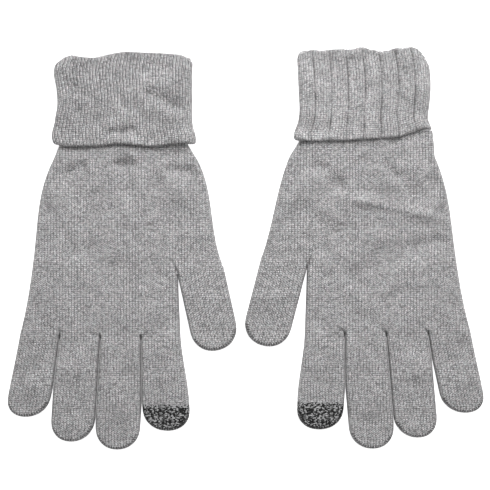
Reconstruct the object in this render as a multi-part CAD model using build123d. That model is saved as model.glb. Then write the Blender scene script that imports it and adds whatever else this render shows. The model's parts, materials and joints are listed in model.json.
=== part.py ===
from build123d import *
from collections import namedtuple
from math import radians, tan
import os

# A pair of knitted touchscreen gloves lying flat, palms up, with their cuffs turned up.
# +X runs from the left-hand glove to the right-hand glove, +Y from the fingertips to the
# cuffs, and +Z up from the surface that the gloves lie on, which is z = 0.
# Both gloves are drawn on the +X side, where x is the distance out from the middle of the
# pair. The left-hand glove is then mirrored over to -X.

# ---- fabric ----
WALL = 1.6              # one layer of knitting
BEND_GAP = 0.3          # play between two sections, past the line where they bend
LAYER_GAP = 0.2         # play between the cuff's two layers
SPARE = 6.0             # how far a rounded blank runs past the plane that trims it

# ---- heights above the surface ----
FINGER_HEIGHT = 9.2
HAND_HEIGHT = 9.6
CUFF_HEIGHT = 12.8
EDGE_ROUND = 4.0        # rounding of the outer edges of hand and fingers
CAVITY_ROUND = 2.4      # the same inside
SECTION_ROUND = 0.46    # corner radius of a cuff section, as a share of its height

# ---- fingers, the same on both gloves ----
# length: from the knuckle line to the tip; bend: from the knuckle line to the middle joint
Finger = namedtuple("Finger", "length root_width end_width bend")
FINGERS = {
    "thumb": Finger(length=53.0, root_width=28.4, end_width=28.6, bend=26.0),
    "index": Finger(length=60.5, root_width=24.4, end_width=27.4, bend=26.0),
    "middle": Finger(length=71.5, root_width=24.4, end_width=28.6, bend=30.0),
    "ring": Finger(length=66.5, root_width=24.4, end_width=28.0, bend=28.0),
    "little": Finger(length=51.5, root_width=24.4, end_width=25.4, bend=22.0),
}
SHOULDER = 0.42         # where the round tip starts, as a share of the width, before the tip
TOUCH_TIP = 17.5        # length of conductive yarn at the end of the index finger
SEAM_PROUD = 1.2        # how far the closing seam stands out of the tip
SEAM_HEIGHT = 1.2
SEAM_REACH = 6.0        # how far the seam runs back round the tip
CROTCH_WALL = 3.0       # fabric between the palm's hollow and the knuckle line
OPENING_WALL = 2.2      # fabric round the opening from the palm into each finger

# ---- cuff ----
CUFF_INNER_WIDTH = 80.6
WELT = 2.6              # length of the thick first courses at the turned-up edge
ELASTIC_WIDTH = 2.4
ELASTIC_DEPTH = 0.8
ELASTIC_ABOVE_EDGE = 8.0

# ---- how each glove lies ----
# fingers: (x on the knuckle line, lean outwards in degrees)
# thumb: (x, y of the middle of its root, lean); outer and inner: points down the hand's sides
Lay = namedtuple("Lay", "knuckle_y wrist_y edge_y top_y edge_width top_width cuff_x "
                        "fingers thumb outer inner")
LEFT_LAY = Lay(
    knuckle_y=-54.0, wrist_y=58.0, edge_y=63.8, top_y=121.0,
    edge_width=90.6, top_width=84.6, cuff_x=75.4,
    fingers={"index": (52.8, -3.2), "middle": (78.1, 1.6), "ring": (103.4, 5.3), "little": (129.0, 9.5)},
    thumb=(28.1, -13.8, -12.5),
    outer=[(119.1, 58.0), (125.9, 40.6), (130.6, 10.0), (134.7, -24.4), (140.6, -54.0)],
    inner=[(31.2, 58.0), (24.3, 40.6), (20.3, 15.6)],
)
RIGHT_LAY = Lay(
    knuckle_y=-52.4, wrist_y=60.0, edge_y=67.0, top_y=125.0,
    edge_width=86.6, top_width=84.8, cuff_x=73.6,
    fingers={"index": (49.3, -2.1), "middle": (75.0, 3.1), "ring": (101.0, 6.8), "little": (127.4, 10.4)},
    thumb=(24.4, -7.8, -14.5),
    outer=[(117.6, 60.0), (124.1, 40.6), (129.0, 10.0), (133.4, -24.4), (139.0, -52.4)],
    inner=[(28.4, 60.0), (21.8, 40.6), (16.0, 15.6)],
)

BIG = 400.0             # larger than the whole pair


def rounded_edges(solid, radius):
    """Round the rims of the solid's flat top and bottom."""
    flats = solid.faces().sort_by(Axis.Z)
    return fillet(flats[0].edges() + flats[-1].edges(), radius)


def raised(plan, low, high, radius):
    """A plan raised between two heights, with rounded rims."""
    return rounded_edges(Pos(0, 0, low) * extrude(plan, amount=high - low), radius)


def beyond(y, direction):
    """All the space past a y, towards +Y or -Y."""
    return Pos(0, y + direction * BIG / 2, 0) * Box(BIG, BIG, BIG)


# ---------------------------------------------------------------- fingers

def finger_plan(finger, lean, inset, reach):
    """A finger seen from above, running along -Y from its root at the origin."""
    drift = tan(radians(lean))
    root = finger.root_width / 2 - inset
    end = finger.end_width / 2 - inset
    tip = finger.length - SEAM_PROUD - inset
    shoulder = finger.length - SEAM_PROUD - SHOULDER * finger.end_width
    back_in = (-drift * reach - root, reach)
    back_out = (-drift * reach + root, reach)
    end_in = (drift * shoulder - end, -shoulder)
    end_out = (drift * shoulder + end, -shoulder)
    outline = [
        Line(back_in, end_in),
        ThreePointArc(end_in, (drift * tip, -tip), end_out),
        Line(end_out, back_out),
        Line(back_out, back_in),
    ]
    return make_face(outline)


def finger_hollow(finger, lean, reach):
    """The space inside a finger."""
    plan = finger_plan(finger, lean, WALL, reach)
    return raised(plan, WALL, FINGER_HEIGHT - WALL, CAVITY_ROUND)


def root_opening(finger, lean):
    """The way from the palm's hollow into a finger."""
    plan = finger_plan(finger, lean, OPENING_WALL, SPARE)
    return Pos(0, 0, OPENING_WALL) * extrude(plan, amount=FINGER_HEIGHT - 2 * OPENING_WALL)


def stretch(start, stop):
    """The slab of space between two distances along a finger."""
    return Pos(0, -(start + stop) / 2, 0) * Box(BIG, stop - start, BIG)


def finger_pieces(name, lean):
    """One finger's pieces, along -Y from its root at the origin."""
    finger = FINGERS[name]
    blank = raised(finger_plan(finger, lean, 0, SPARE), 0, FINGER_HEIGHT, EDGE_ROUND)
    tube = blank - finger_hollow(finger, lean, 2 * SPARE)
    end_start = finger.bend + BEND_GAP
    pieces = {f"{name}_base": tube & stretch(BEND_GAP, finger.bend)}
    if name == "index":
        touch_start = finger.length - TOUCH_TIP
        pieces["index_end"] = tube & stretch(end_start, touch_start)
        pieces["index_touch_tip"] = tube & stretch(touch_start, BIG)
    else:
        pieces[f"{name}_end"] = tube & stretch(end_start, BIG)
    rim = finger_plan(finger, lean, -SEAM_PROUD, SPARE) - finger_plan(finger, lean, 0, SPARE)
    seam_low = (FINGER_HEIGHT - SEAM_HEIGHT) / 2
    seam = Pos(0, 0, seam_low) * extrude(rim, amount=SEAM_HEIGHT)
    pieces[f"{name}_tip_seam"] = seam & stretch(finger.length - SEAM_REACH, BIG)
    return pieces


def finger_place(lay, name):
    """Where a finger's root sits, how it is turned there, and how far it leans from that."""
    if name == "thumb":
        x, y, lean = lay.thumb
        return Pos(x, y, 0) * Rot(0, 0, lean), 0
    x, lean = lay.fingers[name]
    return Pos(x, lay.knuckle_y, 0), lean


# ---------------------------------------------------------------- hand

def hand_plan(lay, inset=0, past_wrist=0, past_thumb=0):
    """The palm and thumb gusset seen from above, with straight edges across the openings."""
    thumb_place, _ = finger_place(lay, "thumb")
    thumb_half = FINGERS["thumb"].root_width / 2 + BEND_GAP - inset
    thumb_root = [(thumb_place * Pos(x, 0, 0)).position for x in (-thumb_half, thumb_half)]
    thumb_end = [(thumb_place * Pos(x, -past_thumb, 0)).position for x in (-thumb_half, thumb_half)]
    knuckle_in = (lay.fingers["index"][0] - FINGERS["index"].root_width / 2 + inset, lay.knuckle_y)
    outer = [(x - inset, y) for x, y in lay.outer]
    inner = [(x + inset, y) for x, y in lay.inner] + [(thumb_root[0].X, thumb_root[0].Y)]
    wrist = [(inner[0][0], lay.wrist_y + past_wrist), (outer[0][0], lay.wrist_y + past_wrist)]
    outline = [Line(*wrist), Spline(outer), Line(outer[-1], knuckle_in)]
    outline += [Line(knuckle_in, thumb_root[1]), Line(*thumb_end), Spline(inner)]
    if past_wrist:
        outline += [Line(wrist[0], inner[0]), Line(wrist[1], outer[0])]
    if past_thumb:
        outline += [Line(root, end) for root, end in zip(thumb_root, thumb_end)]
    return make_face(outline)


def hand_shell(lay):
    """Palm, back and thumb gusset: a flat tube, open at the wrist and at each finger."""
    shell = extrude(hand_plan(lay), amount=HAND_HEIGHT)
    shell = fillet(shell.edges().filter_by(GeomType.BSPLINE), EDGE_ROUND)
    hollow = extrude(hand_plan(lay, WALL, SPARE, SPARE), amount=HAND_HEIGHT - 2 * WALL)
    shell -= Pos(0, 0, WALL) * (hollow - beyond(lay.knuckle_y + CROTCH_WALL, -1))
    for name in lay.fingers:
        place, lean = finger_place(lay, name)
        shell -= place * root_opening(FINGERS[name], lean)
    return shell


# ---------------------------------------------------------------- cuff

def cuff_section(x, y, width, low, high):
    """A flattened ring's outline, standing across the glove."""
    face = RectangleRounded(width, high - low, SECTION_ROUND * (high - low))
    return Plane(origin=(x, y, (low + high) / 2), x_dir=(1, 0, 0), z_dir=(0, 1, 0)) * face


def cuff_pieces(lay):
    """The rib cuff: an inner layer, the layer turned up over it, its welt and the elastic."""
    x, edge, top = lay.cuff_x, lay.edge_y, lay.top_y
    wrist = lay.wrist_y + BEND_GAP
    wrist_width = lay.outer[0][0] - lay.inner[0][0]
    wrist_x = (lay.outer[0][0] + lay.inner[0][0]) / 2
    low = WALL + LAYER_GAP
    high = CUFF_HEIGHT - WALL - LAYER_GAP
    lip = top - WALL
    length = top - edge

    def inner_tube(inset, start, stop):
        return loft([
            cuff_section(wrist_x, start, wrist_width - 2 * inset, inset, HAND_HEIGHT - inset),
            cuff_section(x, edge, CUFF_INNER_WIDTH - 2 * inset, low + inset, high - inset),
            cuff_section(x, stop, CUFF_INNER_WIDTH - 2 * inset, low + inset, high - inset),
        ], ruled=True)

    def turned_tube(inset, stop):
        widen = (lay.edge_width - lay.top_width) / length
        stop_width = lay.edge_width - widen * (stop - edge)
        return loft([
            cuff_section(x, edge, lay.edge_width - 2 * inset, inset, CUFF_HEIGHT - inset),
            cuff_section(x, stop, stop_width - 2 * inset, inset, CUFF_HEIGHT - inset),
        ], ruled=True)

    def band(inset, start, stop):
        face = cuff_section(x, start, CUFF_INNER_WIDTH - 2 * inset, low + inset, high - inset)
        return extrude(face, amount=stop - start, dir=(0, 1, 0))

    elastic_start = edge + ELASTIC_ABOVE_EDGE
    elastic_stop = elastic_start + ELASTIC_WIDTH
    elastic = band(0, elastic_start, elastic_stop) - band(ELASTIC_DEPTH, elastic_start, elastic_stop)
    inner = inner_tube(0, wrist, lip) - inner_tube(WALL, wrist, lip) - elastic
    turned = turned_tube(0, top) - turned_tube(WALL, lip) - band(WALL, edge, top)
    welt_slab = Pos(0, edge + WELT / 2, 0) * Box(BIG, WELT, BIG)
    return {
        "cuff_inner": inner,
        "cuff_turnup": turned - welt_slab,
        "cuff_welt": turned & welt_slab,
        "wrist_elastic": elastic,
    }


# ---------------------------------------------------------------- the pair

def glove_pieces(lay):
    """Every piece of one glove, drawn on the +X side."""
    pieces = {"hand_shell": hand_shell(lay)}
    pieces.update(cuff_pieces(lay))
    for name in FINGERS:
        place, lean = finger_place(lay, name)
        for piece_name, piece in finger_pieces(name, lean).items():
            pieces[piece_name] = place * piece
    return pieces


def write_glove(side, pieces):
    """One file for each piece of one glove."""
    for name, piece in pieces.items():
        export_step(piece, os.path.join("parts", f"{side}_{name}.step"))


os.makedirs("parts", exist_ok=True)
write_glove("right", glove_pieces(RIGHT_LAY))
left_pieces = glove_pieces(LEFT_LAY)
write_glove("left", {name: mirror(piece, about=Plane.YZ) for name, piece in left_pieces.items()})
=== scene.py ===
import json
import math

import bpy
import numpy as np
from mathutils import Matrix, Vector


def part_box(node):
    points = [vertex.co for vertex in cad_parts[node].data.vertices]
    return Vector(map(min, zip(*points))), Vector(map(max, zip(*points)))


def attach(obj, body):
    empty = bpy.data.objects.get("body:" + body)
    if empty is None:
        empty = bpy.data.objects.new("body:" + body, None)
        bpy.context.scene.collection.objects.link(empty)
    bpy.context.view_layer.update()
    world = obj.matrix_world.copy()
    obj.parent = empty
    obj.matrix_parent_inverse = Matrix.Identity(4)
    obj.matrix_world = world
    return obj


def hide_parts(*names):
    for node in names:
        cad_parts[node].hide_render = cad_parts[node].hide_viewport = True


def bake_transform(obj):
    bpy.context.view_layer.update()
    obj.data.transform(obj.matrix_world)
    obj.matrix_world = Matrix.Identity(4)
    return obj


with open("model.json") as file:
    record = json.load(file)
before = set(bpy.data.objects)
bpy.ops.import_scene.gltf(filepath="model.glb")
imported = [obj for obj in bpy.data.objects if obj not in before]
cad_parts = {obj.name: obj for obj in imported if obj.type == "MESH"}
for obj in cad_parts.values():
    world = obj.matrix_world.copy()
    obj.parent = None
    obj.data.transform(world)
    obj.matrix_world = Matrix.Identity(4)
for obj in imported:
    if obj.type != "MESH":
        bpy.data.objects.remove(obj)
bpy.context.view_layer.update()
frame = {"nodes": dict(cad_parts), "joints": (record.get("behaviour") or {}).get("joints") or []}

# A pair of heather-grey knitted touchscreen gloves lies flat, palms up, fingers towards -Y.
# Each glove is worked out on the +X side, where x is the distance out from the middle of the
# pair, and the left-hand glove is mirrored when its meshes are made. Lengths below are in
# millimetres and become metres in add_piece().
MM = 0.001
JOINTS = {joint["name"]: joint for joint in frame["joints"]}
FINGERS = ("thumb", "index", "middle", "ring", "little")

# ---- knit ----
WALE = 1.9              # width of one stitch
COURSE = 1.28           # height of one stitch

# ---- body of the gloves ----
CELL = 0.9              # mesh size along the gloves
COLUMNS = 30            # mesh columns across each finger strip
SEAM_LINE = 3.6         # height of the side edges above the surface
EDGE_RADIUS = 2.2       # how far in from an edge the knit is still rounding over
TOUCHING_RADIUS = 1.3   # the same where two fingers touch
TOP_RISE = 4.1          # from the side edges up to the flat of the palm side
CROWN = 1.5             # further rise towards the middle of the palm
CROWN_REACH = 16.0      # how far in from the edges most of that rise takes place
UNDERSIDE = 0.25        # the back of the hand lies this far above the surface
UNEVEN_UNDER = 0.3      # and up to about twice this much higher in places
TOUCH_FACING = 0.12     # gap between two fingers that lie side by side
# Full widths of the fingers that have a free side; the others lie between their neighbours
END_WIDTH = {
    "left": {"thumb": 29.4, "index": 30.6, "little": 26.6},
    "right": {"thumb": 29.4, "index": 30.6, "little": 29.2},
}
# How much further than the CAD finger each knitted one reaches
FURTHER = {
    "left": {"thumb": -2.2, "index": -0.8, "middle": 0.0, "ring": 0.0, "little": -0.6},
    "right": {"thumb": 1.4, "index": 0.0, "middle": 1.0, "ring": -1.0, "little": -1.6},
}
WIDEN_OVER = 42.0       # a free side has left the hand's side for the finger's own by here
TIP_ROUND = {"thumb": 15.5, "index": 13.5, "middle": 14.0, "ring": 14.0, "little": 13.0}
TIP_SQUARE = 2.15       # 2 is an elliptical tip, more is squarer
TIP_ROWS = 15
THUMB_SHARE = 0.26      # of the hand's width at its end that the thumb's strip takes
FINGER_SHARE = 0.185    # the same for each finger's strip
TUCKED = 14.0           # how far the hand carries on under the turned-up cuff
LYING_ON_CUFF = 2.6     # how far the back of the hand rises to lie inside the cuff
RISING = (3, 9)         # it starts to rise this far below the wrist line, over this length
# Fingers side by side touch down to this far below the knuckle line, then stand apart
TOUCHING = {
    "left": {"index": 42.0, "middle": 52.0, "ring": 32.0},
    "right": {"index": 34.0, "middle": 55.0, "ring": 16.0},
}
OPENING = 0.03          # how fast they then draw apart
# The little finger's side of the hand against the CAD hand's: (y, offset outwards)
SWELLING = {
    "left": [(60, 0), (30, 0.5), (0, 0.3), (-54, 0.7)],
    "right": [(60, 0), (35, 0.6), (0, 0.8), (-25, 1.3), (-54, 2.2)],
}
# How far the outer side of the hand has drawn in where the cuff covers it, and at its end
DRAWN_IN = {"left": (3.5, 3.7), "right": (0.6, 1.4)}


def joint_point(name):
    """A joint's place in mm, with x measured out from the middle of the pair."""
    x, y, z = (value / MM for value in JOINTS[name]["pos_m"])
    return np.array([abs(x), y, z])


def node_slice(node, y):
    """The least and greatest distance out of a CAD node at a height y, in mm."""
    mesh = frame["nodes"][node].data
    points = np.array([v.co for v in mesh.vertices]) / MM
    edges = np.array([e.vertices[:] for e in mesh.edges])
    a, b = points[edges[:, 0]], points[edges[:, 1]]
    crossing = (a[:, 1] - y) * (b[:, 1] - y) < 0
    a, b = a[crossing], b[crossing]
    share = (y - a[:, 1]) / (b[:, 1] - a[:, 1])
    x = np.abs(a[:, 0] + share * (b[:, 0] - a[:, 0]))
    return x.min(), x.max()


def node_reach(node, start, direction):
    """How far a CAD node reaches from a point in a direction seen from above, in mm."""
    points = np.array([v.co[:2] for v in frame["nodes"][node].data.vertices]) / MM
    points[:, 0] = np.abs(points[:, 0])
    return ((points - start[:2]) @ direction).max()


def smooth(t):
    t = np.clip(t, 0, 1)
    return t * t * (3 - 2 * t)


def stations(*marks):
    """Distances about one cell apart, with one at every mark."""
    rows = [marks[0]]
    for start, stop in zip(marks, marks[1:]):
        count = max(1, round(abs(stop - start) / CELL))
        rows.extend(np.linspace(start, stop, count + 1)[1:])
    return np.array(rows)


def smooth_curve(points):
    """A smooth function through a few (position, value) points."""
    at, value = np.array(points, float).T
    slope = np.gradient(value, at)

    def curve(t):
        t = np.clip(t, at[0], at[-1])
        i = np.clip(np.searchsorted(at, t, side="right") - 1, 0, len(at) - 2)
        span = at[i + 1] - at[i]
        s = (t - at[i]) / span
        ease = s * s * (3 - 2 * s)
        rise = (s ** 3 - 2 * s * s + s) * span * slope[i] + (s ** 3 - s * s) * span * slope[i + 1]
        return value[i] * (1 - ease) + value[i + 1] * ease + rise

    return curve


def waves(seed, shortest, longest, count=26):
    """A gentle random surface of height about 1, as a function of x and y in mm."""
    rng = np.random.default_rng(seed)
    length = shortest * (longest / shortest) ** rng.random(count)
    heading = rng.random(count) * 2 * np.pi
    phase = rng.random(count) * 2 * np.pi
    height = np.sqrt(length / longest)
    height /= np.sqrt((height ** 2).sum())

    def surface(x, y):
        total = np.zeros(np.shape(x))
        for k in range(count):
            turn = 2 * np.pi / length[k] * (x * np.cos(heading[k]) + y * np.sin(heading[k]))
            total += height[k] * np.sin(turn + phase[k])
        return total

    return surface


def folds_height(folds, x, y):
    """Soft folds and dents: each is (x, y, x, y, half width, height) in mm."""
    total = np.zeros(np.shape(x))
    for x0, y0, x1, y1, half_width, height in folds:
        run = np.array([x1 - x0, y1 - y0])
        share = np.clip(((x - x0) * run[0] + (y - y0) * run[1]) / (run @ run), 0, 1)
        away = np.hypot(x - x0 - share * run[0], y - y0 - share * run[1])
        total += height * np.exp(-(away / half_width) ** 2)
    return total


def edge_distance(points, segments):
    """The distance of each point from the nearest segment, seen from above."""
    nearest = np.full(len(points), np.inf)
    for start, stop in segments:
        run = stop - start
        offset = points - start
        share = np.clip(offset @ run / max(run @ run, 1e-12), 0, 1)
        away = offset - share[:, None] * run
        nearest = np.minimum(nearest, np.einsum("ij,ij->i", away, away))
    return np.sqrt(nearest)


# ---- meshes ----

def add_piece(name, side, points, faces, corner_uv, normals=None):
    """A smooth mesh object from points in mm on the +X side, mirrored for the left-hand glove."""
    points = np.array(points, float) * MM
    points[:, 0] *= side
    if side < 0:
        faces = [face[::-1] for face in faces]
    mesh = bpy.data.meshes.new(name)
    mesh.from_pydata(points.tolist(), [], [list(face) for face in faces])
    mesh.shade_smooth()
    layer = mesh.uv_layers.new(name="stitches")
    flat = []
    for uv in corner_uv:
        flat.extend(uv[::-1] if side < 0 else uv)
    layer.data.foreach_set("uv", np.asarray(flat, np.float32).ravel())
    if normals is not None:
        normals = np.array(normals)
        normals[:, 0] *= side
        mesh.normals_split_custom_set_from_vertices(normals.tolist())
    piece = bpy.data.objects.new(name, mesh)
    bpy.context.scene.collection.objects.link(piece)
    return piece


def vertex_normals(points, faces):
    """Area-weighted normals of a mesh of quads and triangles."""
    total = np.zeros_like(points)
    for corners in (3, 4):
        chosen = np.array([face for face in faces if len(face) == corners])
        if not len(chosen):
            continue
        corner = points[chosen]
        if corners == 4:
            normal = np.cross(corner[:, 2] - corner[:, 0], corner[:, 3] - corner[:, 1])
        else:
            normal = np.cross(corner[:, 1] - corner[:, 0], corner[:, 2] - corner[:, 0])
        for k in range(corners):
            np.add.at(total, chosen[:, k], normal)
    return total / np.maximum(np.linalg.norm(total, axis=1, keepdims=True), 1e-12)


class Shell:
    """A glove's knit as one welded surface, from which the pieces are then cut."""

    def __init__(self):
        self.grids, self.uvs, self.quads, self.groups = [], [], [], []
        self.count = 0

    def add_grid(self, points, uv, group_of_row, flip):
        """A grid of rows and columns; group_of_row names the piece that each row of faces is in."""
        rows, columns = points.shape[:2]
        ids = self.count + np.arange(rows * columns).reshape(rows, columns)
        self.grids.append(points.reshape(-1, 3))
        self.uvs.append(uv.reshape(-1, 2))
        self.count += rows * columns
        for r in range(rows - 1):
            above, below = ids[r], ids[r + 1]
            quads = np.stack([above[:-1], below[:-1], below[1:], above[1:]], axis=1)
            self.quads.append(quads[:, ::-1] if flip else quads)
            self.groups.extend([group_of_row[r]] * (columns - 1))

    def weld(self):
        """Join the points that coincide."""
        grid_points = np.concatenate(self.grids)
        keys = np.round(grid_points / 0.002).astype(np.int64)
        _, first, index = np.unique(keys, axis=0, return_index=True, return_inverse=True)
        welded = index.reshape(-1)
        self.points = grid_points[first]
        uvs = np.concatenate(self.uvs)
        self.faces, self.face_uvs = [], []
        for quad in np.concatenate(self.quads):
            face = welded[quad]
            kept = [k for k in range(4) if face[k] != face[k - 1]]
            self.faces.append(tuple(face[kept]))
            self.face_uvs.append(uvs[quad[kept]])
        self.normals = vertex_normals(self.points, self.faces)

    def cut(self, name, group, side):
        """One piece of the welded surface, shaded as part of the whole."""
        chosen = [f for f, g in enumerate(self.groups) if g == group and len(self.faces[f]) > 2]
        used = np.unique(np.concatenate([self.faces[f] for f in chosen]))
        new_id = np.full(len(self.points), -1)
        new_id[used] = np.arange(len(used))
        faces = [tuple(int(v) for v in new_id[list(self.faces[f])]) for f in chosen]
        face_uvs = [self.face_uvs[f] for f in chosen]
        return add_piece(name, side, self.points[used], faces, face_uvs, self.normals[used])


# ---- glove outlines ----

class Glove:
    """Where one glove's edges lie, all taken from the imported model's joints and nodes."""

    def __init__(self, name):
        self.name = name
        self.side = -1 if name == "left" else 1
        self.root = {f: joint_point(f"{name}_{f}_knuckle_bend") for f in FINGERS}
        self.bend = {f: joint_point(f"{name}_{f}_middle_bend") for f in FINGERS}
        self.along, self.down, self.length, self.bend_at = {}, {}, {}, {}
        for f in FINGERS:
            run = (self.bend[f] - self.root[f])[:2]
            self.bend_at[f] = np.linalg.norm(run) if f == "thumb" else abs(run[1])
            self.along[f] = run / self.bend_at[f]
            self.down[f] = self.along[f] if f == "thumb" else np.array([0.0, -1.0])
            reach = node_reach(f"{name}_{f}_tip_seam", self.root[f], self.down[f])
            self.length[f] = reach + FURTHER[name][f]
        self.touch_at = self.root["index"][1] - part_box(f"{name}_index_touch_tip")[1][1] / MM
        self.knuckle_y = self.root["index"][1]
        self.wrist_y = joint_point(f"{name}_wrist_bend")[1]
        self.across = np.array([-self.along["thumb"][1], self.along["thumb"][0]])
        half_root = END_WIDTH[name]["thumb"] / 2
        self.crotch = self.root["thumb"][:2] + half_root * self.across
        self.thumb_outer = self.root["thumb"][:2] - half_root * self.across
        self.measure_sides()

    def measure_sides(self):
        """The hand's two sides as functions of y, from slices of the CAD shell and cuff."""
        hand = f"{self.name}_hand_shell"
        cuff = f"{self.name}_cuff_inner"
        at = np.arange(self.knuckle_y + 0.4, self.wrist_y - 0.4, 2.0)
        low, high = np.array([node_slice(hand, y) for y in at]).T
        end = self.wrist_y + TUCKED
        cuff_low, _ = node_slice(cuff, end)
        self.side_y = np.append(at, [self.wrist_y + TUCKED / 2, end])
        self.side_low = np.append(low, [cuff_low, cuff_low])
        high = high + smooth_curve(SWELLING[self.name][::-1])(at)
        self.side_high = np.append(high, high[-1] - np.array(DRAWN_IN[self.name]))

    def thumb_side(self, y):
        return np.interp(y, self.side_y, self.side_low)

    def little_side(self, y):
        return np.interp(y, self.side_y, self.side_high)


def finger_sides(glove, name, s):
    """The x of a finger's two sides at distances s from the knuckle line, before its round tip."""
    order = FINGERS.index(name)
    root, slope = glove.root[name][0], glove.along[name][0]
    facing = TOUCH_FACING / 2 * np.clip(s / 3, 0, 1)

    def free(outward, hand_side):
        half = outward * END_WIDTH[glove.name][name] / 2
        drawn_in = 1 - smooth(s / WIDEN_OVER)
        return root + slope * s + half + (hand_side(glove.knuckle_y) - root - half) * drawn_in

    def touching(first, second):
        stop = TOUCHING[glove.name][first]
        past = np.maximum(s - stop, 0)
        apart = OPENING * past if name == second else -OPENING * past
        return between(glove, first, second, np.minimum(s, stop)) + slope * past + apart

    if name == "index":
        low = free(-1, glove.thumb_side)
    else:
        low = touching(FINGERS[order - 1], name) + facing
    if name == "little":
        high = free(1, glove.little_side)
    else:
        high = touching(name, FINGERS[order + 1]) - facing
    return low, high


def between(glove, first, second, s):
    """The line where two fingers side by side touch."""
    start = (glove.root[first][0] + glove.root[second][0]) / 2
    slope = (glove.along[first][0] + glove.along[second][0]) / 2
    return start + slope * s


def finger_rows(glove, name):
    """Distances down a finger, the share of its width that is left there, and the pieces' names."""
    length = glove.length[name]
    shoulder = length - TIP_ROUND[name]
    marks = [0.0, glove.bend_at[name]]
    if name == "index":
        marks.append(glove.touch_at)
    body = stations(*marks, shoulder)
    turn = np.linspace(0, np.pi / 2, TIP_ROWS + 1)[1:]
    tip = shoulder + TIP_ROUND[name] * np.sin(turn)
    s = np.append(body, tip)
    past = np.clip((s - shoulder) / TIP_ROUND[name], 0, 1)
    share = (1 - past ** TIP_SQUARE) ** (1 / TIP_SQUARE)
    groups = []
    for middle in (s[:-1] + s[1:]) / 2:
        if middle < glove.bend_at[name]:
            groups.append(f"{name}_base")
        elif name == "index" and middle > glove.touch_at:
            groups.append("index_touch_tip")
        else:
            groups.append(f"{name}_end")
    return s, share, groups


def column_spread():
    """Places across a strip, closer together near both edges."""
    even = np.linspace(0, 1, COLUMNS + 1)
    return 0.5 * even + 0.5 * (0.5 - 0.5 * np.cos(np.pi * even))


def palm_rows(glove):
    """The y of each row of the hand, with one at the thumb's crotch and one at the knuckles."""
    return stations(glove.wrist_y + TUCKED, glove.crotch[1], glove.knuckle_y)


def palm_lines(glove, y):
    """Points on the six lines that divide the hand into finger strips."""
    top = y[0]
    share = (top - y) / (top - glove.knuckle_y)
    low, high = glove.thumb_side(top), glove.little_side(top)
    crotch_row = int(np.argmin(np.abs(y - glove.crotch[1])))
    lines = []
    steer = (top - y[:crotch_row + 1]) / (top - glove.crotch[1])
    side_y = y[:crotch_row + 1] + (glove.thumb_outer[1] - glove.crotch[1]) * steer ** 2
    lines.append(np.stack([glove.thumb_side(side_y), side_y], axis=1))
    lines[0][-1] = glove.thumb_outer
    start = low + THUMB_SHARE * (high - low)
    inner = start + (glove.crotch[0] - start) * steer
    inner = np.append(inner, glove.thumb_side(y[crotch_row + 1:]))
    lines.append(np.stack([inner, y], axis=1))
    lines[1][crotch_row] = glove.crotch
    for k, (first, second) in enumerate(zip(FINGERS[1:], FINGERS[2:])):
        end = between(glove, first, second, 0.0)
        begin = low + (THUMB_SHARE + FINGER_SHARE * (k + 1)) * (high - low)
        lines.append(np.stack([begin + (end - begin) * share, y], axis=1))
    lines.append(np.stack([glove.little_side(y), y], axis=1))
    return lines, crotch_row


# ---- the glove's body ----

# Soft folds and dents of the palm side: (x, y, x, y, half width, height)
FOLDS = {
    "left": [
        (111, 47, 102, 51, 3.6, -1.5), (80, 52, 71, 52, 3.4, -1.5), (46, 49, 36, 48, 3.6, -1.7),
        (92, 34, 86, 41, 3.8, -0.8), (57, 32, 53, 41, 3.8, -0.8), (101, 14, 97, 25, 4.5, -0.5),
        (66, 46, 64, 36, 5.0, 0.7), (96, 48, 94, 38, 4.0, 0.6), (122, 42, 116, 30, 5.0, 0.7),
        (42, 38, 34, 26, 5.0, 0.6), (56, -30, 44, -26, 4.4, -0.7), (60, -40, 52, -42, 5.0, 0.5),
    ],
    "right": [
        (40, 50, 50, 51, 3.0, -1.2), (88, 53, 94, 45, 2.6, -1.0), (116, 43, 122, 37, 3.4, -1.2),
        (58, 41, 64, 35, 3.2, -0.9), (62, 32, 114, 21, 2.8, 1.1), (104, 0, 122, 4, 5.0, -1.2),
        (98, 44, 102, 34, 5.0, -0.6), (108, 50, 110, 40, 4.5, 0.8), (34, 40, 28, 30, 5.0, 0.8),
        (80, 48, 76, 42, 5.0, 0.7), (44, -22, 66, -24, 3.4, 0.5), (70, 8, 96, 6, 6.0, 0.4),
    ],
}
# The crease above the thumb's crotch, as points this far from it
CROTCH_CREASE = {"left": [(0.7, 3.2), (4.2, 10.0)], "right": [(0.9, 2.4), (2.2, 5.4)]}
# Creases that start between the fingers and run up into the palm: (x, y, x, y, half width, height)
CREASES = {
    "left": [
        (61.4, -53.0, 65.4, -55.8, 0.95, -1.9), (65.4, -55.8, 72.5, -53.4, 1.0, -0.5),
        (91.0, -55.4, 95.0, -53.4, 1.0, -1.0), (95.0, -53.4, 107.0, -50.4, 1.1, -0.45),
        (116.2, -55.6, 116.0, -51.4, 1.1, -1.1), (116.0, -51.4, 127.0, -48.2, 1.2, -0.5),
    ],
    "right": [
        (57.2, -49.0, 60.0, -50.6, 1.0, -0.9), (60.0, -50.6, 62.0, -54.0, 0.95, -1.9),
        (84.4, -48.6, 86.2, -51.4, 1.0, -0.9), (86.2, -51.4, 88.2, -54.0, 0.95, -1.9),
        (109.8, -47.6, 112.2, -50.6, 1.0, -0.9), (112.2, -50.6, 114.4, -52.6, 0.95, -1.9),
    ],
}
CROTCH_CREASE_FORM = (0.95, -1.8)   # half width and height of the crease at the thumb
FOLD_STRENGTH = 2.3
RIPPLE_HEIGHT = 0.75
SMOOTH_EDGE = 4.5       # folds and ripples die away this close to an edge
FLAT_UNDER_CUFF = 6     # and over this length where the cuff covers them
RIPPLE = {"left": 11, "right": 23}  # seeds
BACK_STITCHES = 301     # shifts the stitches' pattern between the palm and the back


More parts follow.
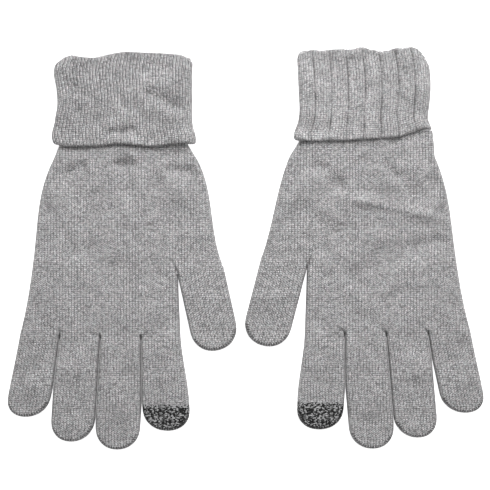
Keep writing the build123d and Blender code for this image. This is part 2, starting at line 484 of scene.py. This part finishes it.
def relief(glove, x, y, depth):
    """The height of folds, puckers and unevenness on the palm side."""
    total = FOLD_STRENGTH * folds_height(FOLDS[glove.name], x, y)
    total += RIPPLE_HEIGHT * waves(RIPPLE[glove.name], 9, 46)(x, y)
    total *= 1 - np.exp(-(depth / SMOOTH_EDGE) ** 2)
    corners = [glove.crotch + offset for offset in [(0, 0)] + CROTCH_CREASE[glove.name]]
    crotch = [(*start, *stop, *CROTCH_CREASE_FORM) for start, stop in zip(corners, corners[1:])]
    total += folds_height(CREASES[glove.name] + crotch, x, y)
    covered = smooth((y - glove.wrist_y) / FLAT_UNDER_CUFF)
    return total * (1 - covered)


def round_over(depth, radius):
    """0 at an edge, rising like a quarter circle to 1 at the radius."""
    return np.sqrt(1 - (1 - np.clip(depth / radius, 0, 1)) ** 2)


def strip_points(glove, name, lines, crotch_row, y):
    """The plan of one finger and its part of the hand, with its pieces' names and free rows."""
    order = FINGERS.index(name)
    s, share, groups = finger_rows(glove, name)
    s, share = s[1:], share[1:]
    if name == "thumb":
        palm = crotch_row + 1
        low, high = lines[0], lines[1][:palm]
        middle = glove.root[name][:2] + s[:, None] * glove.along[name]
        reach = (END_WIDTH[glove.name][name] / 2 * share)[:, None] * glove.across
        finger_low, finger_high = middle - reach, middle + reach
    else:
        palm = len(y)
        low, high = lines[order], lines[order + 1]
        x_low, x_high = finger_sides(glove, name, s)
        middle, half = (x_low + x_high) / 2, (x_high - x_low) / 2 * share
        finger_low = np.stack([middle - half, glove.knuckle_y - s], axis=1)
        finger_high = np.stack([middle + half, glove.knuckle_y - s], axis=1)
    low, high = np.concatenate([low, finger_low]), np.concatenate([high, finger_high])
    along = np.concatenate([np.zeros(palm), s])
    free_low = 0 if name == "thumb" else (crotch_row if name == "index" else palm - 1)
    free_high = 0 if name == "little" else palm - 1
    return low, high, along, ["hand"] * (palm - 1) + groups, (free_low, free_high)


def neighbours(name):
    """For each side of a finger, which finger's entry in TOUCHING says how far it touches there."""
    order = FINGERS.index(name)
    inner = FINGERS[order - 1] if order > 1 else None
    outer = name if 0 < order < len(FINGERS) - 1 else None
    return inner, outer


def rounding_over(plan, rise, axis):
    """How much longer the knit is than its plan, added up along an axis."""
    steps = np.diff(plan, axis=axis)
    longer = np.hypot(steps, np.diff(rise, axis=axis)) - np.abs(steps)
    return np.insert(np.cumsum(longer, axis=axis), 0, 0, axis=axis)


def stitch_places(x, y, lean, rise):
    """Wales and courses, counted along the knit where it rounds over at the edges."""
    around = rounding_over(x, rise, 1)
    around -= around[:, COLUMNS // 2, None]
    return np.stack([(x - lean + around) / WALE, (y - rounding_over(y, rise, 0)) / COURSE], axis=-1)


def build_body(glove):
    """The knit of hand and fingers, as one welded shell."""
    y = palm_rows(glove)
    lines, crotch_row = palm_lines(glove, y)
    spread = column_spread()[None, :, None]
    strips, free_edges, touching_edges = [], [], []
    for name in FINGERS:
        low, high, along, groups, free = strip_points(glove, name, lines, crotch_row, y)
        plan = low[:, None] * (1 - spread) + high[:, None] * spread
        strips.append((name, plan, along, groups))
        for side, first, neighbour in zip((low, high), free, neighbours(name)):
            stop = TOUCHING[glove.name][neighbour] if neighbour else -1.0
            for k in range(first, len(side) - 1):
                edges = touching_edges if along[k] < stop else free_edges
                edges.append((side[k], side[k + 1]))
    shell = Shell()
    for name, plan, along, groups in strips:
        x, y_at = plan[..., 0], plan[..., 1]
        free_depth = edge_distance(plan.reshape(-1, 2), free_edges).reshape(x.shape)
        touching_depth = edge_distance(plan.reshape(-1, 2), touching_edges).reshape(x.shape)
        depth = np.minimum(free_depth, touching_depth)
        rounding = np.minimum(round_over(free_depth, EDGE_RADIUS),
                              round_over(touching_depth, TOUCHING_RADIUS))
        top = SEAM_LINE + TOP_RISE * rounding
        top += CROWN * (1 - np.exp(-depth / CROWN_REACH)) + relief(glove, x, y_at, depth)
        under = SEAM_LINE - (SEAM_LINE - UNDERSIDE) * rounding
        under += UNEVEN_UNDER * (1 - np.exp(-depth / CROWN_REACH)) * (1 + waves(5, 14, 50)(x, y_at))
        under += LYING_ON_CUFF * rounding * smooth((y_at - glove.wrist_y + RISING[0]) / RISING[1])
        under = np.maximum(under, 0.05)
        lean = glove.along[name][0] * along[:, None]
        for z, rise, flip in ((top, TOP_RISE, False), (under, SEAM_LINE - UNDERSIDE, True)):
            uv = stitch_places(x, y_at, lean, rise * rounding) + (BACK_STITCHES * flip, 0)
            shell.add_grid(np.dstack([x, y_at, z]), uv, groups, flip)
    shell.weld()
    return shell


# ---- cuffs ----

RING_LIFT = 0.35        # keeps the ribs of the underside off the surface
LIP = 1.9               # radius of the fold at the top of the cuff
LAYER = 2.0             # thickness of one layer of rib
MOUTH_DEPTH = 5.0       # how far the folded layer goes down into the mouth
LINING = 14             # how far up the turned-up layer's inner face is modelled
WELT_LENGTH = 1.7
WELT_ROLL = (1.7, 1.25) # the welt's half length and half thickness
RIB_HEIGHT = 0.45
GROOVE_DEPTH = 1.5      # the wide grooves of the right-hand cuff
GROOVE_WIDTH = 0.85
WIDE_RIBS = 17
FINE_PER_WIDE = 6
RIBS = {"left": 90, "right": WIDE_RIBS * FINE_PER_WIDE}
POINTS_PER_RIB = 5
ELASTIC_RISE = 9.2      # the elastic's middle above the cuff's lower edge
ELASTIC = (1.2, 0.35)   # its half width and half thickness
SCALLOP = 0.22          # how far each fine rib waves the cuff's edges
WIDE_SCALLOP = (0.9, 0.6)   # the same for the wide ribs at the top, and how far that sinks it
EDGE_BEHIND = 0.45      # share of TOP_EDGE that the back of the cuff follows
DENT_STRENGTH = 1.5
LUMP_HEIGHT = 0.8

# How the real cuffs differ from straight ones. Sides: (share of the way up, offset outwards).
# Edges: (distance across from the cuff's middle, offset upwards). Dents as in FOLDS.
CUFF_OUTER = {
    "left": [(0, -2.2), (0.1, -0.6), (0.28, -2.2), (0.47, -3.6), (0.63, -3.0), (0.82, -1.4), (1, -4.2)],
    "right": [(0, -1.2), (0.12, -0.8), (0.24, -3.2), (0.41, -2.4), (0.57, -1.7), (0.78, -2.3), (1, -5.0)],
}
CUFF_INNER = {
    "left": [(0, 1.5), (0.1, 1.1), (0.22, 2.9), (0.47, 3.3), (0.8, 3.4), (1, 2.6)],
    "right": [(0, 0.6), (0.08, 0.3), (0.22, 2.9), (0.57, 3.2), (0.8, 2.5), (1, 1.8)],
}
TOP_EDGE = {
    "left": [(-43, -4.6), (-38, -1.4), (-27, 0.3), (-10, 1.2), (0, 1.5), (9, 0.3), (18, -2.1),
             (27, -1.6), (35, -0.9), (40, -4.0), (43, -7.5)],
    "right": [(-43, -7.0), (-39, -3.2), (-34, -1.7), (-20, -1.4), (-14, -0.6), (-9, -1.2),
              (-4, 0.0), (6, -0.7), (14, -2.8), (19, -0.9), (26, 0.1), (33, 0.2), (37, -1.8), (40.5, -9.0)],
}
LOW_EDGE = {
    "left": [(-44, 1.8), (-38, 2.0), (-26, 0.9), (-20, 0.0), (-7, 0.7), (4, 1.4), (12, 0.5), (25, 0.0),
             (38, 0.5), (45, 2.6)],
    "right": [(-43, 1.6), (-38, 0.6), (-20, 0.5), (-4, 0.8), (11, 1.8), (21, 2.8), (28, 5.0), (38, 8.0),
              (43, 6.8)],
}
CUFF_DENTS = {
    "left": [(84, 72.5, 77, 72.5, 2.3, -2.3), (74, 73, 71, 74, 2.1, -1.9), (60, 96, 40, 86, 3.6, -1.8),
             (58, 84, 44, 79, 5.0, 0.8), (106, 106, 110, 98, 4.5, -0.9), (58, 72, 42, 70, 5, 0.8),
             (95, 98, 88, 112, 5, 0.7)],
    "right": [(66, 117, 67, 104, 2.2, -0.9), (54, 116, 44, 116, 3.5, -0.7), (104, 118, 108, 108, 4, -0.8),
              (84, 96, 88, 82, 6, 0.7), (40, 96, 46, 84, 6, 0.5)],
}


def ring(width, height, turn):
    """Places round a flattened ring: the middle of its rounding, and the outward direction.

    turn runs from 0 to 1, from the middle of the top towards +X.
    """
    half = (width - height) / 2
    arc = np.pi * height / 2
    at = turn * (4 * half + 2 * arc)
    marks = [half, half + arc, 3 * half + arc, 3 * half + 2 * arc]
    inside = [at < mark for mark in marks]
    anchor = np.select(inside, [at, half, 2 * half + arc - at, -half], at - 4 * half - 2 * arc)
    turning = [(at - marks[0]) * 2 / height, np.pi + (at - marks[2]) * 2 / height]
    angle = np.select(inside, [0 * at, turning[0], np.pi + 0 * at, turning[1]], 0 * at)
    return anchor, np.sin(angle), np.cos(angle)


class Cuff:
    """The turned-up cuff of one glove, as rings whose width and edges vary."""

    def __init__(self, glove):
        self.glove = glove
        low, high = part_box(f"{glove.name}_cuff_turnup")
        welt_low, welt_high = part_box(f"{glove.name}_cuff_welt")
        sides = [sorted((abs(a[0]) / MM, abs(b[0]) / MM)) for a, b in ((low, high), (welt_low, welt_high))]
        (top_in, top_out), (edge_in, edge_out) = sides
        self.low_y, self.top_y = welt_low[1] / MM, high[1] / MM
        self.middle = (edge_in + edge_out) / 2
        self.height = high[2] / MM - 2 * RING_LIFT
        narrowing = (edge_out - edge_in - top_out + top_in) / 2
        self.outer = smooth_curve([(t, edge_out - narrowing * t + d) for t, d in CUFF_OUTER[glove.name]])
        self.inner = smooth_curve([(t, edge_in + narrowing * t + d) for t, d in CUFF_INNER[glove.name]])
        self.top_edge = smooth_curve(TOP_EDGE[glove.name])
        self.low_edge = smooth_curve(LOW_EDGE[glove.name])
        self.ribs = RIBS[glove.name]
        self.turn = np.arange(self.ribs * POINTS_PER_RIB + 1) / (self.ribs * POINTS_PER_RIB)
        self.bumps = waves(RIPPLE[glove.name] + 40, 8, 34)

    def edges(self):
        """The y of the cuff's lower and top edges at each place round it."""
        anchor, sideways, up = ring(self.outer(0.5) - self.inner(0.5), self.height, self.turn)
        x = anchor + self.height / 2 * sideways
        behind = np.where(up > -0.5, 1.0, EDGE_BEHIND)
        scallop = SCALLOP * np.cos(2 * np.pi * self.ribs * self.turn)
        low = self.low_y + self.low_edge(x) + scallop
        top = self.top_y + self.top_edge(x) * behind - scallop
        if self.glove.name == "right":
            wide = np.abs(np.cos(np.pi * WIDE_RIBS * self.turn))
            top = top + WIDE_SCALLOP[0] * wide - WIDE_SCALLOP[1]
        return low, top

    def rib_relief(self):
        """How far the ribs stand out, at each place round the cuff."""
        fine = 0.5 - 0.5 * np.cos(2 * np.pi * self.ribs * self.turn)
        out = RIB_HEIGHT * fine
        if self.glove.name == "right":
            width = self.outer(0.5) - self.inner(0.5)
            pitch = (2 * (width - self.height) + np.pi * self.height) / WIDE_RIBS
            away = (self.turn * WIDE_RIBS + 0.5) % 1 - 0.5
            out = out - GROOVE_DEPTH * np.exp(-(away * pitch / GROOVE_WIDTH) ** 2)
        return out

    def rows(self, y, inset, rib_amount):
        """Points on rings: y and inset are given for each row, y also for each place round."""
        share = np.clip((y - self.low_y) / (self.top_y - self.low_y), 0, 1)
        high, low = self.outer(share), self.inner(share)
        anchor, sideways, up = ring(high - low, self.height, self.turn[None, :] + 0 * y)
        middle = (high + low) / 2
        x = middle + anchor + self.height / 2 * sideways
        out = self.rib_relief()[None, :] * rib_amount
        lumps = LUMP_HEIGHT * self.bumps(x, y + 31 * (up < 0))
        lumps += DENT_STRENGTH * folds_height(CUFF_DENTS[self.glove.name], x, y) * (up > 0)
        out = out + lumps * np.abs(up) - inset
        radius = self.height / 2 + out
        z = RING_LIFT + self.height / 2 + radius * up
        return np.dstack([middle + anchor + radius * sideways, y, np.maximum(z, 0.05)])

    def add_tube(self, name, path, closed=False, inward=False):
        """A piece made of rings; path lists (y for each place round, inset, ribs' share)."""
        y = np.array([row[0] for row in path])
        inset = np.array([row[1] for row in path])[:, None]
        amount = np.array([row[2] for row in path])[:, None]
        grid = self.rows(y, inset, amount)[:, :-1]
        rows, columns = grid.shape[:2]
        step = np.linalg.norm(np.diff(grid, axis=0), axis=2).mean(axis=1)
        along = np.append(0, np.cumsum(step)) / COURSE
        faces, uvs = [], []
        for r in range(rows if closed else rows - 1):
            below = (r + 1) % rows
            v0, v1 = along[r], along[r] + step[r % len(step)] / COURSE
            for c in range(columns):
                nxt = (c + 1) % columns
                face = [r * columns + c, below * columns + c, below * columns + nxt, r * columns + nxt]
                u0, u1 = c / POINTS_PER_RIB, (c + 1) / POINTS_PER_RIB
                corner = [(u0, v0), (u0, v1), (u1, v1), (u1, v0)]
                faces.append(tuple(face if inward else face[::-1]))
                uvs.append(np.array(corner if inward else corner[::-1]))
        return add_piece(name, self.glove.side, grid.reshape(-1, 3), faces, uvs)

    def turnup(self):
        low, top = self.edges()
        path = [(low + y, LAYER, 0.3) for y in np.arange(LINING, WELT_LENGTH, -1.2)]
        path += [(low + WELT_LENGTH, LAYER * t, 0.3 + 0.7 * (1 - t)) for t in (1.0, 0.5, 0.0)]
        count = round((self.top_y - self.low_y) / 1.05)
        rise = np.linspace(0, 1, count)[1:]
        path += [(low + WELT_LENGTH + (top - LIP - low - WELT_LENGTH) * t, 0, 1.0) for t in rise]
        for turn in np.linspace(0, np.pi, 10)[1:]:
            path.append((top - LIP + LIP * np.sin(turn), LIP - LIP * np.cos(turn), 1 - 0.5 * turn / np.pi))
        path += [(top - LIP - y, 2 * LIP, 0.5) for y in np.arange(1.0, MOUTH_DEPTH, 1.0)]
        return self.add_tube(f"{self.glove.name}_cuff_turned_layer", path)

    def roll(self, middle, size, depth, count, ribs):
        """Rings round a roll of knit, from its half length and half thickness."""
        return [(middle - size[0] * np.cos(turn), depth + size[1] * np.sin(turn), ribs)
                for turn in np.linspace(0, 2 * np.pi, count + 1)[:-1]]

    def welt(self):
        low, _ = self.edges()
        path = self.roll(low + WELT_LENGTH, WELT_ROLL, LAYER / 2, 16, 0.75)
        return self.add_tube(f"{self.glove.name}_cuff_welt_roll", path, closed=True, inward=True)

    def inner_layer(self):
        _, top = self.edges()
        start = self.glove.wrist_y + TUCKED + 0.5
        stop = top - LIP - MOUTH_DEPTH + 1.5
        shares = np.linspace(0, 1, 44)
        path = [(start + (stop - start) * t, 2 * LIP - 1.3, 0.2) for t in shares[::-1]]
        path += [(start + (stop - start) * t, 2 * LIP + 0.05, 0.5) for t in shares]
        return self.add_tube(f"{self.glove.name}_cuff_inner_layer", path, inward=True)

    def elastic(self):
        middle = self.low_y + ELASTIC_RISE + 0 * self.turn
        path = self.roll(middle, ELASTIC, LAYER, 12, 0.1)
        return self.add_tube(f"{self.glove.name}_wrist_elastic_yarn", path, closed=True)


# ---- tip seams ----

SEAM_PITCH = 1.75       # one linking stitch
SEAM_REACH = 2.1        # how far in from the edge each stitch of it reaches, on the palm side
SEAM_REACH_UNDER = 1.0
SEAM_YARN = 0.34        # radius of the linking yarn
SEAM_SPAN = 0.80        # share of the round tip that the seam covers
SEAM_STEPS = 16         # points to a stitch


def seam_piece(glove, name):
    """The linking yarn, wrapped along the edge that closes a fingertip."""
    shoulder = glove.length[name] - TIP_ROUND[name]
    turn = np.linspace(-np.pi / 2, np.pi / 2, 400) * SEAM_SPAN
    past = np.cos(turn)
    share = np.sign(turn) * (1 - past ** TIP_SQUARE) ** (1 / TIP_SQUARE)
    s = shoulder + TIP_ROUND[name] * past
    if name == "thumb":
        reach = END_WIDTH[glove.name][name] / 2 * share
        edge = glove.root[name][:2] + np.outer(s, glove.down[name]) + np.outer(reach, glove.across)
    else:
        low, high = finger_sides(glove, name, s)
        edge = np.stack([(low + high) / 2 + (high - low) / 2 * share, glove.knuckle_y - s], axis=1)
    run = np.append(0, np.cumsum(np.linalg.norm(np.diff(edge, axis=0), axis=1)))
    count = round(run[-1] / SEAM_PITCH)
    at = np.linspace(0, run[-1], count * SEAM_STEPS + 1)
    edge = np.stack([np.interp(at, run, edge[:, k]) for k in range(2)], axis=1)
    outward = np.gradient(edge, axis=0)
    outward = np.stack([outward[:, 1], -outward[:, 0]], axis=1)
    outward /= np.linalg.norm(outward, axis=1, keepdims=True)
    outward *= np.sign(outward[len(at) // 2] @ glove.down[name])
    wrap = np.sin(2 * np.pi * count * np.linspace(0, 1, len(at)))
    inward = np.where(wrap > 0, SEAM_REACH * wrap, -SEAM_REACH_UNDER * wrap)
    height = np.where(wrap > 0, TOP_RISE, UNDERSIDE - SEAM_LINE + SEAM_YARN)
    route = np.empty((len(at), 3))
    route[:, :2] = edge - outward * (inward + SEAM_YARN / 2)[:, None]
    route[:, 2] = SEAM_LINE + height * round_over(inward, EDGE_RADIUS)
    return tube(f"{glove.name}_{name}_tip_linking", glove.side, route, SEAM_YARN)


def tube(name, side, route, radius, around=6):
    """A round yarn along a route, closed at both ends."""
    tangent = np.gradient(route, axis=0)
    tangent /= np.linalg.norm(tangent, axis=1, keepdims=True)
    reference = np.tile([0.0, 0.0, 1.0], (len(route), 1))
    reference[np.abs(tangent[:, 2]) > 0.9] = (0.0, 1.0, 0.0)
    first = np.cross(tangent, reference)
    first /= np.linalg.norm(first, axis=1, keepdims=True)
    for k in range(1, len(first)):
        carried = first[k - 1] - tangent[k] * (first[k - 1] @ tangent[k])
        first[k] = carried / np.linalg.norm(carried)
    second = np.cross(tangent, first)
    angle = np.arange(around) * 2 * np.pi / around
    ring_points = first[:, None] * np.cos(angle)[:, None] + second[:, None] * np.sin(angle)[:, None]
    points = (route[:, None] + radius * ring_points).reshape(-1, 3)
    faces, uvs = [], []
    for r in range(len(route) - 1):
        for c in range(around):
            nxt = (c + 1) % around
            faces.append((r * around + c, r * around + nxt, (r + 1) * around + nxt, (r + 1) * around + c))
            u0, u1 = c / around, (c + 1) / around
            uvs.append(np.array([(u0, r / 4), (u1, r / 4), (u1, (r + 1) / 4), (u0, (r + 1) / 4)]))
    last = (len(route) - 1) * around
    faces.append(tuple(range(around))[::-1])
    faces.append(tuple(last + c for c in range(around)))
    uvs += [np.zeros((around, 2))] * 2
    return add_piece(name, side, points, faces, uvs)


# ---- materials ----

class Graph:
    """A material's nodes, written as sums."""

    def __init__(self, name):
        self.material = bpy.data.materials.new(name)
        self.material.use_nodes = True
        self.tree = self.material.node_tree
        self.shader = self.tree.nodes["Principled BSDF"]

    def feed(self, socket, value):
        if isinstance(value, bpy.types.NodeSocket):
            self.tree.links.new(value, socket)
        elif value is not None:
            socket.default_value = value

    def node(self, kind, inputs, **settings):
        """A new node with its settings made and its inputs fed, by number or name."""
        made = self.tree.nodes.new(kind)
        for key, value in settings.items():
            setattr(made, key, value)
        for socket, value in inputs.items():
            self.feed(made.inputs[socket], value)
        return made

    def math(self, operation, a, b=None):
        return self.node("ShaderNodeMath", {0: a, 1: b}, operation=operation).outputs[0]

    def remap(self, value, low, high, to_low=0.0, to_high=1.0):
        inputs = dict(enumerate((value, low, high, to_low, to_high)))
        return self.node("ShaderNodeMapRange", inputs).outputs[0]

    def mix(self, share, a, b):
        return self.node("ShaderNodeMix", {0: share, 6: a, 7: b}, data_type="RGBA").outputs[2]

    def noise(self, vector, scale, detail=2.0, rough=0.5):
        inputs = {"Vector": vector, "Scale": scale, "Detail": detail, "Roughness": rough}
        return self.node("ShaderNodeTexNoise", inputs).outputs["Fac"]

    def tufts(self, vector, scale):
        """Random cells with a random colour each."""
        cells = self.node("ShaderNodeTexVoronoi", {"Vector": vector, "Scale": scale})
        return self.node("ShaderNodeSeparateColor", {0: cells.outputs["Color"]}).outputs

    def scaled(self, colour, shade):
        return self.node("ShaderNodeVectorMath", {0: colour, "Scale": shade}, operation="SCALE").outputs[0]

    def bump(self, height, strength, distance):
        inputs = {"Strength": strength, "Distance": distance, "Height": height}
        return self.node("ShaderNodeBump", inputs).outputs[0]

    def finished(self, inputs):
        """The material, once its shader's inputs are set."""
        for socket, value in inputs.items():
            self.feed(self.shader.inputs[socket], value)
        return self.material

    def stitches(self):
        """The stitch coordinates: across in wales, along in courses."""
        uv = self.node("ShaderNodeUVMap", {}, uv_map="stitches").outputs[0]
        parts = self.node("ShaderNodeSeparateXYZ", {0: uv}).outputs
        return uv, parts[0], parts[1]


def grey(value, warmth=0.0):
    return (value * (1 + warmth), value, value * (1 + 0.012), 1.0)


def stitch_height(graph, across, along, wobble, channel=0.45):
    """The relief of stocking stitch: two slanting legs to each stitch, with gaps between."""
    across = graph.math("ADD", across, wobble)
    from_middle = graph.math("MULTIPLY", graph.math("PINGPONG", across, 0.5), 2.0)
    leg = graph.math("SINE", graph.math("MULTIPLY", from_middle, math.pi))
    slant = graph.math("SUBTRACT", along, graph.math("MULTIPLY", from_middle, 0.75))
    strand = graph.math("ABSOLUTE", graph.math("SINE", graph.math("MULTIPLY", slant, math.pi)))
    strand = graph.remap(strand, 0.0, 0.9, 0.15, 1.0)
    between_wales = graph.remap(from_middle, 0.0, 0.45, channel, 1.0)
    strand = graph.math("MULTIPLY", strand, between_wales)
    return graph.math("MULTIPLY", graph.math("POWER", leg, 0.5), strand)


TUFTS = 2.1             # tufts of dark and light fibre across a stitch


def knit_material(name, tone, hollow_shade=0.78, fleck=0.48, channel=0.38, mottle=0.075, grooves=0):
    """Heather knit: stitches, light and dark fibres, slow changes of tone, and painted shade in the hollows
    between stitches and, when grooves is set, along wide grooves.
    """
    graph = Graph(name)
    uv, across, along = graph.stitches()
    wobble = graph.remap(graph.noise(uv, 0.35, 2.0), 0.3, 0.7, -0.12, 0.12)
    height = stitch_height(graph, across, along, wobble, channel)
    tuft = graph.tufts(uv, TUFTS)
    fine = graph.noise(uv, 4.5, 1.0, 0.6)
    slow = graph.noise(uv, 0.06, 2.0)
    # Painted shade and light: the colour is darker where the stitch relief is low, in the hollows between
    # stitches and (deepened by channel) between wales, and lighter on the stitches' raised tops.
    shade = graph.remap(height, 0.0, 1.0, 1.0 - hollow_shade, 1.0 + hollow_shade * 0.75)
    shade = graph.math("MULTIPLY", shade, graph.remap(tuft[0], 0.0, 1.0, 1.0 - fleck, 1.0 + fleck))
    shade = graph.math("MULTIPLY", shade, graph.remap(fine, 0.3, 0.7, 0.68, 1.25))
    shade = graph.math("MULTIPLY", shade, graph.remap(slow, 0.3, 0.7, 1.0 - mottle, 1.0 + mottle))
    # Painted shade along the wide grooves, its depth changing slowly along them.
    if grooves:
        away = graph.math("PINGPONG", across, grooves / 2)
        groove_shade = graph.remap(graph.noise(uv, 0.13, 1.0), 0.38, 0.6, 0.6, 0.98)
        shade = graph.math("MULTIPLY", shade, graph.remap(away, 0.0, 0.6, groove_shade, 1.0))
    tint = graph.mix(tuft[1], grey(tone, 0.06), grey(tone, -0.03))
    lifted = graph.math("ADD", height, graph.math("MULTIPLY", fine, 0.5))
    return graph.finished({
        "Base Color": graph.scaled(tint, shade), "Normal": graph.bump(lifted, 0.8, 0.0004),
        "Roughness": 0.95, "Specular IOR Level": 0.15, "Sheen Weight": 0.12, "Sheen Roughness": 0.6,
    })


def touch_material(name, tone, start_course):
    """Black and grey marl, with a ragged start where it is knitted on, and painted shade in the hollows
    between stitches.
    """
    graph = Graph(name)
    uv, across, along = graph.stitches()
    height = stitch_height(graph, across, along, 0.0)
    pick = graph.tufts(uv, TUFTS)
    ramp = graph.node("ShaderNodeValToRGB", {0: pick[0]})
    ramp.color_ramp.interpolation = "CONSTANT"
    for k, (at, value) in enumerate(((0.0, 0.012), (0.42, 0.04), (0.58, 0.17), (0.71, 0.5))):
        stop = ramp.color_ramp.elements[k] if k < 2 else ramp.color_ramp.elements.new(at)
        stop.position, stop.color = at, grey(value)
    fine = graph.noise(uv, 2.6, 2.0, 0.6)
    marl = graph.mix(graph.remap(fine, 0.4, 0.7, 0.0, 0.4), ramp.outputs[0], grey(0.05))
    ragged = graph.math("MULTIPLY", pick[1], 1.8)
    past = graph.math("LESS_THAN", graph.math("ADD", along, ragged), start_course)
    plain_knit = graph.mix(graph.remap(fine, 0.3, 0.7, 0.0, 1.0), grey(tone * 0.75), grey(tone * 1.2))
    colour = graph.mix(past, plain_knit, marl)
    # Painted shade in the hollows between stitches, and painted light on their raised tops.
    shade = graph.remap(height, 0.0, 1.0, 0.6, 1.2)
    return graph.finished({
        "Base Color": graph.scaled(colour, shade), "Normal": graph.bump(height, 0.6, 0.0003),
        "Roughness": 0.9, "Specular IOR Level": 0.2,
    })


def floor_material():
    return Graph("plain_floor").finished({
        "Base Color": (0.9, 0.9, 0.9, 1.0), "Roughness": 1.0, "Specular IOR Level": 0.0,
        "Emission Color": (1.0, 1.0, 1.0, 1.0), "Emission Strength": 0.8,
    })


# ---- assembly ----

# The first value and channel set the painted shade in the hollows between stitches and wales; grooves adds
# painted shade along the right cuff's wide grooves.
RIB_LOOKS = {
    "left": dict(hollow_shade=0.78, fleck=0.48, channel=0.2, mottle=0.15),
    "right": dict(hollow_shade=0.72, fleck=0.46, channel=0.3, mottle=0.13, grooves=FINE_PER_WIDE),
}
TONES = {"knit": 0.425, "left_cuff": 0.42, "right_cuff": 0.475}
TOUCH_START = 43.0      # the conductive yarn starts this far below the knuckle line


def dress(piece, material):
    piece.data.materials.append(material)
    return piece


def build_glove(name, looks):
    glove = Glove(name)
    shell = build_body(glove)
    hand = dress(shell.cut(f"{name}_hand_knit", "hand", glove.side), looks["knit"])
    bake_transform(hand)
    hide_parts(f"{name}_hand_shell")
    for f in FINGERS:
        base = dress(shell.cut(f"{name}_{f}_base_knit", f"{f}_base", glove.side), looks["knit"])
        end = dress(shell.cut(f"{name}_{f}_end_knit", f"{f}_end", glove.side), looks["knit"])
        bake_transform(base)
        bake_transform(end)
        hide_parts(f"{name}_{f}_base")
        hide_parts(f"{name}_{f}_end")
        seam_look, seam_slot = looks["seam"], "seam_yarn"
        if f == "index":
            tip = shell.cut(f"{name}_index_touch_tip_knit", "index_touch_tip", glove.side)
            dress(tip, looks["touch"])
            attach(tip, f"{name}_index_end")
            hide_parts(f"{name}_index_touch_tip")
            seam_look, seam_slot = looks["touch_seam"], "touch_yarn"
        seam = dress(seam_piece(glove, f), seam_look)
        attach(seam, f"{name}_{f}_end")
        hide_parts(f"{name}_{f}_tip_seam")
    cuff = Cuff(glove)
    parts = (("cuff_turnup", cuff.turnup()), ("cuff_welt", cuff.welt()), ("cuff_inner", cuff.inner_layer()))
    for node, piece in parts:
        dress(piece, looks["cuff"])
        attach(piece, f"{name}_cuff")
        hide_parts(f"{name}_{node}")
    elastic = dress(cuff.elastic(), looks["elastic"])
    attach(elastic, f"{name}_cuff")
    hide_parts(f"{name}_wrist_elastic")


for side in ("left", "right"):
    touch_start = joint_point(f"{side}_index_knuckle_bend")[1] - TOUCH_START
    build_glove(side, {
        "knit": knit_material(f"{side}_heather_knit", TONES["knit"]),
        "cuff": knit_material(f"{side}_heather_rib", TONES[f"{side}_cuff"], **RIB_LOOKS[side]),
        "touch": touch_material(f"{side}_touch_knit", TONES["knit"], touch_start / COURSE + 0.6),
        # The linking yarn takes half the knit's tone as painted shade along the fingertips' edges.
        "seam": knit_material(f"{side}_linking_yarn", TONES["knit"] * 0.5, fleck=0.5),
        "touch_seam": knit_material(f"{side}_touch_linking_yarn", 0.05, fleck=0.6),
        "elastic": knit_material(f"{side}_elastic_yarn", 0.5),
    })


# ---- floor, light and camera ----

FRAME_WIDTH = 0.30625   # width of the view on the gloves' mid height
VIEW_CENTRE = (-0.0003, 0.0025, 0.005)
LENS = 100.0
SENSOR = 36.0


def add_floor():
    bpy.ops.mesh.primitive_plane_add(size=6.0, location=(0, 0, -0.0002))
    floor = bpy.context.object
    floor.name = "floor"
    floor.data.materials.append(floor_material())


def add_light(name, place, size, power):
    data = bpy.data.lights.new(name, "AREA")
    data.size = size
    data.energy = power
    light = bpy.data.objects.new(name, data)
    light.location = place
    light.rotation_euler = (-Vector(place)).to_track_quat("-Z", "Y").to_euler()
    bpy.context.scene.collection.objects.link(light)


def add_camera():
    data = bpy.data.cameras.new("camera")
    data.lens, data.sensor_width = LENS, SENSOR
    data.clip_start, data.clip_end = 0.01, 20.0
    camera = bpy.data.objects.new("camera", data)
    camera.location = Vector(VIEW_CENTRE) + Vector((0, 0, FRAME_WIDTH * LENS / SENSOR))
    bpy.context.scene.collection.objects.link(camera)
    bpy.context.scene.camera = camera


add_floor()
add_light("key", (0.08, 0.55, 0.74), 0.5, 8.2)
add_light("fill", (0.5, -0.3, 1.3), 1.4, 3.0)
world = bpy.data.worlds.new("studio")
world.use_nodes = True
world.node_tree.nodes["Background"].inputs["Color"].default_value = (1, 1, 1, 1)
world.node_tree.nodes["Background"].inputs["Strength"].default_value = 0.3
bpy.context.scene.world = world
bpy.context.scene.view_settings.view_transform = "Standard"
add_camera()
